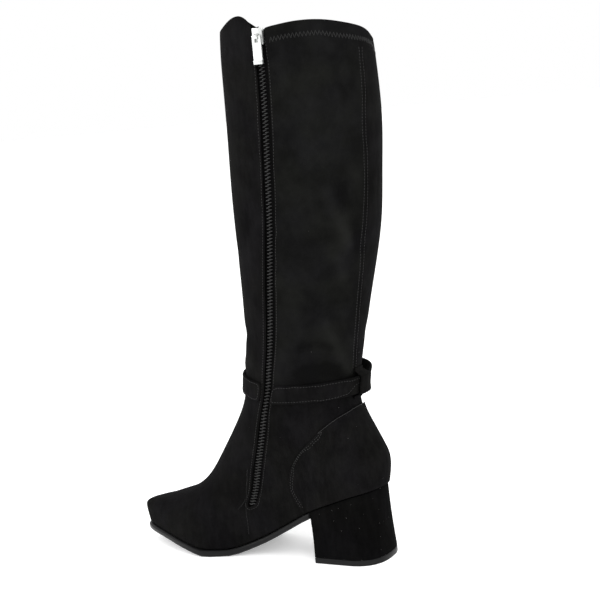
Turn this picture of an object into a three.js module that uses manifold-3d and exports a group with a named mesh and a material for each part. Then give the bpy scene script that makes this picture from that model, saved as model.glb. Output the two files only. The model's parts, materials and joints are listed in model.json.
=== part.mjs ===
// Knee-high boot for the right foot, in millimetres: +X to the toe, +Y to the inner side, +Z up.
// The origin is the middle of the heel tip's face on the floor.
// The zip runs down the inner side, and a narrow strap goes round the ankle through a keeper at the back.
import * as THREE from "three";
import { mergeVertices } from "three/addons/utils/BufferGeometryUtils.js";
import Module from "manifold-3d";

const wasm = await Module();
wasm.setup();

// Sizes of the last
const footLength = 251;
const ballWidth = 84;
const seatHeight = 66;
const instepHeight = 106;
const toeSpring = 11.5;
const heelOverhang = 30;

// Sizes of the shaft
const bootHeight = 469;
const calfDepth = 132;
const calfWidth = 118;
const shaftAxis = 5;
const collarFall = 33;

// Walls, edges and gaps
const upperWall = 2;
const soleEdge = 6;
const soleProud = 1.6;
const soleRounding = 1.2;
const insoleThickness = 3;
const fit = 0.3;
const soleGap = 0.45;
const looseFit = 0.6;
const counterGap = 0.85;

// Heel and counter
const breastPlace = 31;
const tipThickness = 5;
const tipLength = 60;
const tipWidth = 58;
const tipFullness = 2.5;
const heelPinch = 1.2;
const counterThickness = 1;

// Ankle strap and its keeper at the back
const strapHeight = 152;
const strapWidth = 16;
const strapThickness = 2.2;
const strapSlack = 7.4;
const strapRise = 7.5;
const strapInset = 2.5;
const keeperWidth = 12.5;
const keeperHeight = 27;
const keeperThickness = 1.6;
const keeperStep = 0.6;

// Zip
const slotWidth = 10;
const tapeWidth = 26;
const tapeThickness = 0.8;
const tapeGap = 0.5;
const chainWidth = 6;
const sliderHeight = 449;
const sliderLength = 13;
const sliderWidth = 9;
const plateThickness = 1.2;
const bridgeWidth = 3;
const bridgeThickness = 1;
const pinRadius = 0.8;
const pinPlay = 0.5;
const tabLength = 22.5;
const tabWidth = 8;
const tabThickness = 1.4;
const eyeLength = 4;
const lipHeight = 0.8;
const lipLength = 3;

// Fineness of the meshes
const columns = 48;
const stepsBetweenRows = 2;
const stations = 30;
const heelStations = 14;
const strapSteps = 48;
const keeperSteps = 12;
const keeperColumns = 4;
const counterSteps = 18;
const counterRises = 16;
const roundSteps = 10;
const halvings = 30;

const fullTurn = 2 * Math.PI;
const mix = (from, to, share) => from + (to - from) * share;
const clamp = (value, low, high) => Math.min(Math.max(value, low), high);
const smooth = (share) => {
  const held = clamp(share, 0, 1);
  return held * held * (3 - 2 * held);
};

// The slope of a table's column at a row, held so that the curve never swings past its rows
function slopeAt(table, key, value, index) {
  const runTo = (from, to) => (value(table[to]) - value(table[from])) / (key(table[to]) - key(table[from]));
  const last = table.length - 1;
  if (index === 0) return runTo(0, 1);
  if (index === last) return runTo(last - 1, last);
  const before = runTo(index - 1, index);
  const after = runTo(index, index + 1);
  if (before * after <= 0) return 0;
  const middle = runTo(index - 1, index + 1);
  return Math.sign(middle) * Math.min(Math.abs(middle), 3 * Math.abs(before), 3 * Math.abs(after));
}

// A smooth curve through one column of a table, read at a place along another column
function readTable(table, key, value, place) {
  const held = clamp(place, key(table[0]), key(table[table.length - 1]));
  let index = 0;
  while (index < table.length - 2 && key(table[index + 1]) < held) index += 1;
  const low = table[index];
  const high = table[index + 1];
  const run = key(high) - key(low);
  const share = (held - key(low)) / run;
  const rise = value(high) - value(low);
  const leave = slopeAt(table, key, value, index) * run;
  const arrive = slopeAt(table, key, value, index + 1) * run;
  const square = share * share;
  const cube = square * share;
  return (
    value(low) + leave * (cube - 2 * square + share) + arrive * (cube - square)
    + rise * (3 * square - 2 * cube)
  );
}

// The feather line, where the upper meets the sole: along is a share of the foot's length from the
// heel's back, and fall is a share of the seat's height that is left above the forefoot
const featherRows = [
  { along: 0.00, fall: 0.970, spring: 0.00 },
  { along: 0.08, fall: 0.900, spring: 0.00 },
  { along: 0.16, fall: 0.790, spring: 0.00 },
  { along: 0.25, fall: 0.645, spring: 0.00 },
  { along: 0.34, fall: 0.445, spring: 0.00 },
  { along: 0.43, fall: 0.245, spring: 0.00 },
  { along: 0.51, fall: 0.100, spring: 0.00 },
  { along: 0.56, fall: 0.030, spring: 0.00 },
  { along: 0.61, fall: 0.000, spring: 0.00 },
  { along: 0.67, fall: 0.000, spring: 0.00 },
  { along: 0.76, fall: 0.000, spring: 0.34 },
  { along: 0.84, fall: 0.000, spring: 0.66 },
  { along: 0.92, fall: 0.000, spring: 0.87 },
  { along: 1.00, fall: 0.000, spring: 1.00 },
];

const featherKey = (row) => row.along;
function feather(x) {
  const along = (x + heelOverhang) / footLength;
  const fall = readTable(featherRows, featherKey, (row) => row.fall, along);
  const spring = readTable(featherRows, featherKey, (row) => row.spring, along);
  return soleEdge + fall * (seatHeight - soleEdge) + spring * toeSpring;
}

// How full the sole's outline is on each side, beside an ellipse of the same length: shares of the ball's
// width
const outlineRows = [
  { along: 0.00, inner: 0.70, outer: 0.70 },
  { along: 0.06, inner: 0.60, outer: 0.59 },
  { along: 0.14, inner: 0.50, outer: 0.49 },
  { along: 0.26, inner: 0.37, outer: 0.39 },
  { along: 0.38, inner: 0.30, outer: 0.38 },
  { along: 0.48, inner: 0.29, outer: 0.42 },
  { along: 0.60, inner: 0.38, outer: 0.51 },
  { along: 0.70, inner: 0.475, outer: 0.590 },
  { along: 0.80, inner: 0.445, outer: 0.600 },
  { along: 0.90, inner: 0.370, outer: 0.560 },
  { along: 1.00, inner: 0.300, outer: 0.440 },
];

function soleFullness(along, side) {
  return readTable(outlineRows, (row) => row.along, (row) => (side > 0 ? row.inner : row.outer), along);
}

// The upper's sections, from the feather line up to the instep. front and back are shares of the foot's
// length from the heel's back, lifts are shares of the instep's height above the feather line, width is a
// share of the ball's width, sole says how much of the sole's outline is left in the section, where the rest
// of it is an ellipse, and zip is the place of the zip's middle as a share of the section's own length.
const footRows = [
  { front: 1.000, frontLift: 0.000, back: 0.000, backLift: 0.00, width: 1.000, sole: 1.00, zip: 0.490 },
  { front: 1.006, frontLift: 0.080, back: -0.010, backLift: 0.10, width: 1.030, sole: 1.00, zip: 0.489 },
  { front: 1.010, frontLift: 0.166, back: -0.016, backLift: 0.21, width: 1.030, sole: 0.96, zip: 0.484 },
  { front: 0.990, frontLift: 0.220, back: 0.000, backLift: 0.32, width: 1.010, sole: 0.88, zip: 0.480 },
  { front: 0.924, frontLift: 0.268, back: 0.018, backLift: 0.42, width: 0.990, sole: 0.74, zip: 0.478 },
  { front: 0.853, frontLift: 0.342, back: 0.036, backLift: 0.52, width: 0.965, sole: 0.57, zip: 0.483 },
  { front: 0.772, frontLift: 0.442, back: 0.054, backLift: 0.62, width: 0.940, sole: 0.38, zip: 0.499 },
  { front: 0.691, frontLift: 0.620, back: 0.064, backLift: 0.73, width: 0.925, sole: 0.20, zip: 0.521 },
  { front: 0.610, frontLift: 0.890, back: 0.066, backLift: 0.85, width: 0.920, sole: 0.08, zip: 0.552 },
];

// Above the instep: rise is a share of the way from the instep to the collar, lower is how far the back
// stands under the front, front and back are shares of the calf's depth from the shaft's axis, and width is
// a share of the calf's width
const shaftRows = [
  { rise: 0.074, lower: -0.110, front: 0.700, back: 0.176, width: 0.660, zip: 0.624 },
  { rise: 0.144, lower: -0.084, front: 0.652, back: 0.206, width: 0.680, zip: 0.624 },
  { rise: 0.213, lower: -0.058, front: 0.618, back: 0.240, width: 0.720, zip: 0.610 },
  { rise: 0.302, lower: -0.032, front: 0.592, back: 0.284, width: 0.785, zip: 0.590 },
  { rise: 0.409, lower: -0.012, front: 0.576, back: 0.352, width: 0.860, zip: 0.569 },
  { rise: 0.516, lower: 0.000, front: 0.562, back: 0.416, width: 0.925, zip: 0.546 },
  { rise: 0.633, lower: 0.004, front: 0.545, back: 0.450, width: 0.980, zip: 0.525 },
  { rise: 0.752, lower: 0.014, front: 0.528, back: 0.480, width: 1.000, zip: 0.514 },
  { rise: 0.873, lower: 0.034, front: 0.508, back: 0.485, width: 0.990, zip: 0.508 },
  { rise: 0.992, lower: 0.058, front: 0.488, back: 0.475, width: 0.980, zip: 0.507 },
];

const footPlace = (share) => share * footLength - heelOverhang;

function footSection(row) {
  const front = footPlace(row.front);
  const back = footPlace(row.back);
  return {
    front,
    back,
    frontHeight: feather(front) + row.frontLift * (instepHeight - soleEdge),
    backHeight: feather(back) + row.backLift * instepHeight,
    width: row.width * ballWidth,
    sole: row.sole,
    zip: row.zip,
  };
}

function shaftSection(row) {
  const height = bootHeight - instepHeight;
  return {
    front: shaftAxis + row.front * calfDepth,
    back: shaftAxis - row.back * calfDepth,
    frontHeight: instepHeight + row.rise * height,
    backHeight: instepHeight + (row.rise - row.lower) * height,
    width: row.width * calfWidth,
    sole: 0,
    zip: row.zip,
  };
}

const sections = [...footRows.map(footSection), ...shaftRows.map(shaftSection)];
sections.forEach((section, index) => {
  section.index = index;
});
const lastRow = sections.length - 1;

// The zip's ends, in rows of sections: the slot starts at zipFoot, the chain stops short of both its ends and
// the tape reaches below it
const zipFoot = 3;
const zipShort = 0.08;
const tapeShort = 0.3;
const tapeBelow = 0.35;

function sectionAt(level) {
  const read = (name) => readTable(sections, (row) => row.index, (row) => row[name], level);
  return {
    front: read("front"),
    back: read("back"),
    frontHeight: read("frontHeight"),
    backHeight: read("backHeight"),
    width: read("width"),
    sole: read("sole"),
    zip: read("zip"),
  };
}

// The angle of the zip's middle in a section
const zipAngle = (level) => Math.acos(2 * sectionAt(level).zip - 1);

// The collar's edge round the shaft: turn is in degrees from the front over the inner side, and fall is a
// share of the way from its lobe, in front of the zip, down to its low place at the back
const collarRows = [
  { turn: 0, fall: 0.36 },
  { turn: 34, fall: 0.34 },
  { turn: 50, fall: 0.22 },
  { turn: 63, fall: 0.06 },
  { turn: 73, fall: 0.00 },
  { turn: 80, fall: 0.12 },
  { turn: 86, fall: 0.34 },
  { turn: 96, fall: 0.37 },
  { turn: 104, fall: 0.33 },
  { turn: 120, fall: 0.29 },
  { turn: 137, fall: 0.33 },
  { turn: 156, fall: 0.46 },
  { turn: 176, fall: 0.62 },
  { turn: 186, fall: 0.75 },
  { turn: 196, fall: 0.91 },
  { turn: 208, fall: 1.00 },
  { turn: 226, fall: 0.95 },
  { turn: 248, fall: 0.76 },
  { turn: 274, fall: 0.57 },
  { turn: 305, fall: 0.46 },
  { turn: 335, fall: 0.41 },
  { turn: 360, fall: 0.36 },
];

function collarHeight(angle) {
  const turn = THREE.MathUtils.euclideanModulo(THREE.MathUtils.radToDeg(angle), 360);
  return bootHeight - collarFall * readTable(collarRows, (row) => row.turn, (row) => row.fall, turn);
}

// A point of the upper's outer face: angle 0 is the front and a quarter turn is the inner side
function skin(angle, level) {
  const section = sectionAt(level);
  const along = (1 + Math.cos(angle)) / 2;
  const side = Math.sign(Math.sin(angle));
  const x = mix(section.back, section.front, along);
  const full = mix(0.5, soleFullness(along, side), section.sole);
  const y = section.width * full * Math.sin(angle);
  const chord = mix(feather(section.back), feather(section.front), along);
  const sag = section.sole * (feather(x) - chord);
  const plain = mix(section.backHeight, section.frontHeight, along) + sag;
  const nearCollar = smooth(level - lastRow + 1);
  const z = nearCollar > 0 ? mix(plain, collarHeight(angle), nearCollar) : plain;
  return new THREE.Vector3(x, y, z);
}

// Turns points and faces into a closed geometry: shared points are merged and flat triangles dropped
function closedGeometry(points, triangles) {
  const geometry = new THREE.BufferGeometry();
  geometry.setAttribute("position", new THREE.Float32BufferAttribute(points.flatMap((p) => p.toArray()), 3));
  geometry.setIndex(triangles.flat());
  const merged = mergeVertices(geometry, 1e-3);
  const index = merged.getIndex().array;
  const kept = [];
  for (let i = 0; i < index.length; i += 3) {
    const [a, b, c] = [index[i], index[i + 1], index[i + 2]];
    if (a !== b && b !== c && c !== a) kept.push(a, b, c);
  }
  merged.setIndex(kept);
  merged.computeVertexNormals();
  return merged;
}

// Two triangles for each cell of a grid of points, whose face looks out where columns run anticlockwise
// seen from above and rows run upward
function gridFaces(rowCount, rowLength, start, flip) {
  const faces = [];
  for (let row = 0; row < rowCount - 1; row += 1) {
    for (let column = 0; column < rowLength - 1; column += 1) {
      const a = start + row * rowLength + column;
      const b = a + 1;
      const c = b + rowLength;
      const d = a + rowLength;
      if (flip) faces.push([a, c, b], [a, d, c]);
      else faces.push([a, b, c], [a, c, d]);
    }
  }
  return faces;
}

// The direction out of the upper at a place on it
function outward(angle, level) {
  const small = 1e-3;
  const low = Math.max(level - small, 0);
  const high = Math.min(level + small, lastRow);
  const round = skin(angle + small, level).sub(skin(angle - small, level));
  const up = skin(angle, high).sub(skin(angle, low));
  return round.cross(up).normalize();
}

const offsetSkin = (angle, level, distance) =>
  skin(angle, level).addScaledVector(outward(angle, level), distance);

// An angle's length along the upper's face, in millimetres for each radian
function reach(angle, level) {
  const small = 1e-3;
  return skin(angle + small, level).distanceTo(skin(angle - small, level)) / (2 * small);
}

// The level at which the upper's face has a height, at an angle
function levelAt(angle, height) {
  let low = 0;
  let high = lastRow;
  for (let step = 0; step < halvings; step += 1) {
    const middle = (low + high) / 2;
    if (skin(angle, middle).z < height) low = middle;
    else high = middle;
  }
  return (low + high) / 2;
}

// A patch over the upper's face, closed between an inside and an outside offset. place gives the angle and
// the level for a share across and a share up, and depth gives both offsets there.
function patch(across, up, place, depth) {
  const points = [];
  for (const face of ["outside", "inside"]) {
    for (let row = 0; row <= up; row += 1) {
      for (let column = 0; column <= across; column += 1) {
        const [angle, level] = place(column / across, row / up);
        points.push(offsetSkin(angle, level, depth(column / across, row / up)[face]));
      }
    }
  }
  const width = across + 1;
  const inner = width * (up + 1);
  const faces = [...gridFaces(up + 1, width, 0, false), ...gridFaces(up + 1, width, inner, true)];
  const edge = (a, b) => faces.push([a, inner + a, inner + b], [a, inner + b, b]);
  for (let column = 0; column < across; column += 1) {
    edge(column, column + 1);
    edge(up * width + column + 1, up * width + column);
  }
  for (let row = 0; row < up; row += 1) {
    edge((row + 1) * width, row * width);
    edge(row * width + across, (row + 1) * width + across);
  }
  return closedGeometry(points, faces);
}

// A slab between ladders of paired points: each ring holds the outline at one height, from the back pair to
// the front pair
function slab(rings) {
  const points = rings.flatMap((ring) => ring.flatMap((pair) => [pair.inner, pair.outer]));
  const count = rings[0].length;
  const at = (ring, station, side) => (ring * count + station) * 2 + side;
  const faces = [];
  const quad = (a, b, c, d) => faces.push([a, b, c], [a, c, d]);
  for (let station = 0; station < count - 1; station += 1) {
    const next = station + 1;
    const top = rings.length - 1;
    quad(at(top, station, 0), at(top, station, 1), at(top, next, 1), at(top, next, 0));
    quad(at(0, station, 1), at(0, station, 0), at(0, next, 0), at(0, next, 1));
    for (let ring = 0; ring < top; ring += 1) {
      quad(at(ring, next, 0), at(ring, station, 0), at(ring + 1, station, 0), at(ring + 1, next, 0));
      quad(at(ring, station, 1), at(ring, next, 1), at(ring + 1, next, 1), at(ring + 1, station, 1));
    }
  }
  for (let ring = 0; ring < rings.length - 1; ring += 1) {
    const end = count - 1;
    quad(at(ring, 0, 0), at(ring, 0, 1), at(ring + 1, 0, 1), at(ring + 1, 0, 0));
    quad(at(ring, end, 1), at(ring, end, 0), at(ring + 1, end, 0), at(ring + 1, end, 1));
  }
  return closedGeometry(points, faces);
}

// Half the width of the sole's outline at a place along the foot, widened or narrowed all round by grow
function outlineHalf(x, side, grow) {
  const length = footLength + 2 * grow;
  const along = clamp((x + heelOverhang + grow) / length, 0, 1);
  const across = 2 * Math.sqrt(along * (1 - along));
  const half = ballWidth * soleFullness(along, side) * across;
  return half + grow * Math.min(1, across * 2) * (half > 0 ? 1 : 0);
}

function outlineRing(places, grow, height) {
  return places.map((x) => ({
    inner: new THREE.Vector3(x, outlineHalf(x, 1, grow), height(x)),
    outer: new THREE.Vector3(x, -outlineHalf(x, -1, grow), height(x)),
  }));
}

// Places along the foot from one end to the other, closer together where an end is round
const roundAtEnd = (share) => Math.sin((share * Math.PI) / 2);
const roundAtStart = (share) => 1 - Math.cos((share * Math.PI) / 2);
const roundAtBoth = (share) => (1 - Math.cos(share * Math.PI)) / 2;
const placesBetween = (from, to, ease, count) =>
  Array.from({ length: count + 1 }, (_, step) => mix(from, to, ease(step / count)));

const toePlace = footPlace(1);

function outsole() {
  const ringAt = (grow, height) =>
    outlineRing(placesBetween(breastPlace + fit, toePlace + grow, roundAtEnd, stations), grow, height);
  return slab([
    ringAt(soleProud - soleRounding, (x) => feather(Math.min(x, toePlace)) - soleEdge),
    ringAt(soleProud, (x) => feather(Math.min(x, toePlace)) - soleEdge + soleRounding),
    ringAt(soleProud, (x) => feather(Math.min(x, toePlace)) - soleGap - soleRounding),
    ringAt(soleProud - soleRounding, (x) => feather(Math.min(x, toePlace)) - soleGap),
  ]);
}

function insole() {
  const inset = -(upperWall + 3 * fit);
  const ringAt = (height) =>
    outlineRing(placesBetween(footPlace(0) - inset, toePlace + inset, roundAtBoth, stations), inset, height);
  return slab([
    ringAt((x) => feather(x)),
    ringAt((x) => feather(x) + insoleThickness),
  ]);
}

// The heel's outline at a share of its height: the tip's own D shape below and the seat's outline above
function heelRing(share, height) {
  const pairs = [];
  for (let step = 0; step <= heelStations; step += 1) {
    const eased = roundAtStart(step / heelStations);
    const seatX = mix(footPlace(0), breastPlace, eased);
    const tipX = mix(-tipLength / 2, tipLength / 2, eased);
    const fromRound = 1 - Math.min((eased * tipLength) / (tipWidth / 2), 1);
    const tipRound = (1 - fromRound ** tipFullness) ** (1 / tipFullness);
    const pinch = heelPinch * Math.sin(share * Math.PI);
    const half = (side) => {
      const seat = outlineHalf(seatX, side, 0);
      const tip = (tipWidth / 2) * tipRound;
      return Math.max(mix(tip, seat, share) - pinch * Math.min(1, 2 * tipRound), 0);
    };
    const x = mix(tipX, seatX, share) + (step === 0 ? pinch : 0);
    pairs.push({
      inner: new THREE.Vector3(x, half(1), height(seatX)),
      outer: new THREE.Vector3(x, -half(-1), height(seatX)),
    });
  }
  return pairs;
}

const heelTip = () => slab([heelRing(0, () => 0), heelRing(0, () => tipThickness)]);

function heelBlock() {
  const foot = tipThickness + fit;
  const shares = [0, 0.2, 0.4, 0.6, 0.8, 1];
  return slab(shares.map((share) => heelRing(share, (x) => mix(foot, feather(x) - fit, share))));
}

// Half the angle that the zip's slot takes at a level, or any width about the zip's middle
const halfAngle = (width, level) => width / 2 / reach(zipAngle(level), level);

// The upper's wall. Its columns run from the slot's back edge round the heel, the outer side and the toe to
// the slot's front edge, and below the zip the last strip closes it.
function upper() {
  const rowCount = lastRow * stepsBetweenRows + 1;
  const slotRow = zipFoot * stepsBetweenRows;
  const width = columns + 1;
  const points = [];
  for (const distance of [0, -upperWall]) {
    for (let row = 0; row < rowCount; row += 1) {
      const level = row / stepsBetweenRows;
      const half = halfAngle(slotWidth, level);
      const from = zipAngle(level) + half;
      const to = zipAngle(level) - half + fullTurn;
      for (let column = 0; column <= columns; column += 1) {
        points.push(offsetSkin(mix(from, to, column / columns), level, distance));
      }
    }
  }
  const inner = rowCount * width;
  const faces = [...gridFaces(rowCount, width, 0, false), ...gridFaces(rowCount, width, inner, true)];
  const quad = (a, b, c, d) => faces.push([a, b, c], [a, c, d]);
  const edge = (a, b) => quad(a, inner + a, inner + b, b);
  const at = (row, column) => row * width + column;
  for (let row = 0; row < slotRow; row += 1) {
    const [a, b, c, d] = [at(row, columns), at(row, 0), at(row + 1, 0), at(row + 1, columns)];
    quad(a, b, c, d);
    quad(inner + a, inner + d, inner + c, inner + b);
  }
  for (let column = 0; column < columns; column += 1) {
    edge(at(0, column), at(0, column + 1));
    edge(at(rowCount - 1, column + 1), at(rowCount - 1, column));
  }
  edge(at(0, columns), at(0, 0));
  edge(at(slotRow, 0), at(slotRow, columns));
  for (let row = slotRow; row < rowCount - 1; row += 1) {
    edge(at(row + 1, 0), at(row, 0));
    edge(at(row, columns), at(row + 1, columns));
  }
  return closedGeometry(points, faces);
}

// The counter's edge: how far it reaches each way from the back at a level, in degrees
const counterRows = [
  { level: 0.12, reach: 62 },
  { level: 1.80, reach: 67 },
  { level: 3.10, reach: 68 },
  { level: 4.30, reach: 67 },
  { level: 5.26, reach: 61 },
  { level: 5.94, reach: 51 },
  { level: 6.36, reach: 40 },
  { level: 6.58, reach: 26 },
  { level: 6.66, reach: 12 },
];

function counter() {
  const bottom = counterRows[0].level;
  const top = counterRows[counterRows.length - 1].level;
  const place = (across, up) => {
    const level = mix(bottom, top, 1 - (1 - up) ** 2);
    const turn = readTable(counterRows, (row) => row.level, (row) => row.reach, level);
    return [Math.PI + (2 * across - 1) * THREE.MathUtils.degToRad(turn), level];
  };
  const depth = () => ({ inside: counterGap, outside: counterGap + counterThickness });
  return patch(counterSteps, counterRises, place, depth);
}

// The strap's way round the ankle, by turn in degrees: it is sewn down at the zip, slack and higher on the
// outer side. Slack is a share of how far it stands off at most, and rise of how far it climbs.
const strapRows = [
  { turn: 60, slack: 0.00, rise: 0.00 },
  { turn: 110, slack: 0.00, rise: 0.04 },
  { turn: 150, slack: 0.30, rise: 0.22 },
  { turn: 180, slack: 0.62, rise: 0.32 },
  { turn: 194, slack: 0.80, rise: 0.40 },
  { turn: 214, slack: 1.00, rise: 0.90 },
  { turn: 240, slack: 0.90, rise: 1.00 },
  { turn: 290, slack: 0.45, rise: 0.96 },
  { turn: 340, slack: 0.15, rise: 0.85 },
  { turn: 385, slack: 0.00, rise: 0.68 },
  { turn: 430, slack: 0.00, rise: 0.16 },
  { turn: 460, slack: 0.00, rise: 0.00 },
];
const strapAt = (angle, column) =>
  readTable(strapRows, (row) => row.turn, (row) => row[column], THREE.MathUtils.radToDeg(angle));
const strapStandOff = (angle) => looseFit + strapSlack * strapAt(angle, "slack");

function strap() {
  const level = levelAt(Math.PI / 2, strapHeight);
  const inset = halfAngle(slotWidth + 2 * strapInset, level);
  const from = zipAngle(level) + inset;
  const to = zipAngle(level) - inset + fullTurn;
  const place = (across, up) => {
    const angle = mix(from, to, across);
    const middle = strapHeight + strapRise * strapAt(angle, "rise");
    return [angle, levelAt(angle, middle + (up - 0.5) * strapWidth)];
  };
  const depth = (across) => {
    const off = strapStandOff(mix(from, to, across));
    return { inside: off, outside: off + strapThickness };
  };
  return patch(strapSteps, 2, place, depth);
}

// The keeper is a band up the back: its feet lie on the upper and its middle bridges the strap
function keeper() {
  const middle = strapHeight + strapRise * strapAt(Math.PI, "rise");
  const level = levelAt(Math.PI, middle);
  const half = keeperWidth / 2 / reach(Math.PI, level);
  const place = (across, up) => {
    const angle = Math.PI + (2 * across - 1) * half;
    return [angle, levelAt(angle, middle + (up - 0.5) * keeperHeight)];
  };
  const proud = strapStandOff(Math.PI + half) + strapThickness + looseFit;
  const depth = (across, up) => {
    const fromMiddle = Math.abs(up - 0.5) * keeperHeight - strapWidth / 2 - looseFit;
    const foot = (keeperHeight - strapWidth) / 2 - looseFit;
    const inside = mix(proud, fit, smooth(fromMiddle / (foot * keeperStep)));
    return { inside, outside: inside + keeperThickness };
  };
  return patch(keeperColumns, keeperSteps, place, depth);
}

// A strip along the zip between two offsets
function zipStrip(width, low, high, inside, outside) {
  const up = Math.round((high - low) * stepsBetweenRows);
  const place = (across, share) => {
    const level = mix(low, high, share);
    return [zipAngle(level) + (2 * across - 1) * halfAngle(width, level), level];
  };
  return patch(2, up, place, () => ({ inside, outside }));
}

const tapeFace = -upperWall - tapeGap;
const zipTop = lastRow - zipShort;
const tapeTop = lastRow - tapeShort;
const zipTape = () => zipStrip(tapeWidth, zipFoot - tapeBelow, tapeTop, tapeFace - tapeThickness, tapeFace);
const zipChain = () => zipStrip(chainWidth, zipFoot + zipShort, zipTop, tapeFace + looseFit, 0);

// The slider's own frame: x forward across the zip, y out of the upper and z up along the zip
function zipFrame() {
  const level = levelAt(Math.PI / 2, sliderHeight);
  const small = 0.05;
  const up = skin(zipAngle(level + small), level + small).sub(skin(zipAngle(level - small), level - small));
  const out = outward(zipAngle(level), level);
  up.addScaledVector(out, -up.dot(out)).normalize();
  const forward = out.clone().cross(up).normalize();
  const place = new THREE.Matrix4().makeBasis(forward, out, up);
  place.setPosition(skin(zipAngle(level), level));
  return place;
}

function toSolid(geometry) {
  const plain = geometry.clone();
  plain.deleteAttribute("normal");
  plain.deleteAttribute("uv");
  const merged = mergeVertices(plain, 1e-4);
  const mesh = new wasm.Mesh({
    numProp: 3,
    vertProperties: new Float32Array(merged.attributes.position.array),
    triVerts: new Uint32Array(merged.index.array),
  });
  return new wasm.Manifold(mesh);
}

function toGeometry(solid) {
  const mesh = solid.getMesh();
  const geometry = new THREE.BufferGeometry();
  geometry.setAttribute("position", new THREE.BufferAttribute(new Float32Array(mesh.vertProperties), 3));
  geometry.setIndex(new THREE.BufferAttribute(new Uint32Array(mesh.triVerts), 1));
  geometry.computeVertexNormals();
  return geometry;
}

// A box from its low corner to its high corner
function box(low, high) {
  const size = high.map((value, axis) => value - low[axis]);
  const geometry = new THREE.BoxGeometry(...size);
  geometry.translate(...low.map((value, axis) => value + size[axis] / 2));
  return toSolid(geometry);
}

// A flat outline in y and z, made as thick as width and centred on x
function acrossZip(shape, width) {
  const geometry = new THREE.ExtrudeGeometry(shape, {
    depth: width,
    bevelEnabled: false,
    curveSegments: roundSteps,
  });
  geometry.translate(0, 0, -width / 2);
  geometry.applyMatrix4(new THREE.Matrix4().set(0, 0, 1, 0, 1, 0, 0, 0, 0, 1, 0, 0, 0, 0, 0, 1));
  return toSolid(geometry);
}

const plateTop = fit + plateThickness;
const bridgeInner = pinRadius + pinPlay;
const bridgeOuter = bridgeInner + bridgeThickness;
const pinOut = plateTop + Math.hypot(pinRadius, tabThickness / 2) + fit;

function bridgeShape() {
  const shape = new THREE.Shape();
  const seat = plateTop - plateThickness / 2;
  shape.moveTo(seat, -bridgeOuter);
  shape.lineTo(pinOut, -bridgeOuter);
  shape.absarc(pinOut, 0, bridgeOuter, -Math.PI / 2, Math.PI / 2, false);
  shape.lineTo(seat, bridgeOuter);
  shape.lineTo(seat, bridgeInner);
  shape.lineTo(pinOut, bridgeInner);
  shape.absarc(pinOut, 0, bridgeInner, Math.PI / 2, -Math.PI / 2, true);
  shape.lineTo(seat, -bridgeInner);
  return shape;
}

function slider() {
  const half = sliderWidth / 2;
  const wall = (slotWidth - 2 * fit - chainWidth) / 2 - fit;
  const inside = chainWidth / 2 + fit;
  const long = sliderLength / 2;
  const outer = Math.min(half, inside + wall);
  return toGeometry(
    box([-half, fit, -long], [half, plateTop, long])
      .add(box([inside, -upperWall / 2, -long], [outer, plateTop, long]))
      .add(box([-outer, -upperWall / 2, -long], [-inside, plateTop, long]))
      .add(acrossZip(bridgeShape(), bridgeWidth)),
  );
}

// The tab hangs from its pin, which turns inside the slider's bridge
function pullTab() {
  const half = tabWidth / 2;
  const thick = tabThickness / 2;
  const end = pinRadius - tabLength;
  const eye = bridgeWidth / 2 + fit;
  const pin = new THREE.Shape();
  pin.absarc(pinOut, 0, pinRadius, 0, fullTurn, false);
  return toGeometry(
    box([-half, pinOut - thick, end], [half, pinOut + thick, pinRadius])
      .subtract(box([-eye, pinOut - 2 * thick, -pinRadius - eyeLength], [eye, pinOut + 2 * thick, 2 * pinRadius]))
      .add(acrossZip(pin, tabWidth))
      .add(box([-half, pinOut + thick / 2, end], [half, pinOut + thick + lipHeight, end + lipLength])),
  );
}

function piece(name, geometry, color, roughness, metalness = 0) {
  const mesh = new THREE.Mesh(geometry, new THREE.MeshStandardMaterial({ color, roughness, metalness }));
  mesh.name = name;
  return mesh;
}

const zipHardware = new THREE.Group();
zipHardware.add(
  piece("zip_slider", slider(), 0xb4b6b5, 0.35, 1),
  piece("zip_pull_tab", pullTab(), 0xc2c4c3, 0.35, 1),
);
zipHardware.applyMatrix4(zipFrame());

const boot = new THREE.Group();
boot.add(
  piece("upper", upper(), 0x161617, 0.95),
  piece("insole", insole(), 0x3a3531, 0.9),
  piece("outsole", outsole(), 0x1b1c1c, 0.35),
  piece("heel_block", heelBlock(), 0x151514, 0.95),
  piece("heel_tip", heelTip(), 0x1e1f1f, 0.35),
  piece("counter", counter(), 0x151514, 0.95),
  piece("ankle_strap", strap(), 0x151514, 0.95),
  piece("strap_keeper", keeper(), 0x161616, 0.95),
  piece("zip_tape", zipTape(), 0x1c1c1c, 0.9),
  piece("zip_chain", zipChain(), 0x3c3c3a, 0.6),
  zipHardware,
);

export default boot;
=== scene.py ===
"""Knee-high boot for the right foot: suede upper with an inner side zip, a narrow ankle strap in a keeper
at the back, a glossy sole and a covered block heel.

Laid out as a Blender add-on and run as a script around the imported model. Lengths are in metres in the
model's own frame: x to the toe, y to the inner side, z up.
"""

import json
import math
import random

import bmesh
import bpy
import numpy as np
from bpy.props import FloatProperty, FloatVectorProperty, PointerProperty
from mathutils import Matrix, Vector
from mathutils.bvhtree import BVHTree

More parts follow.
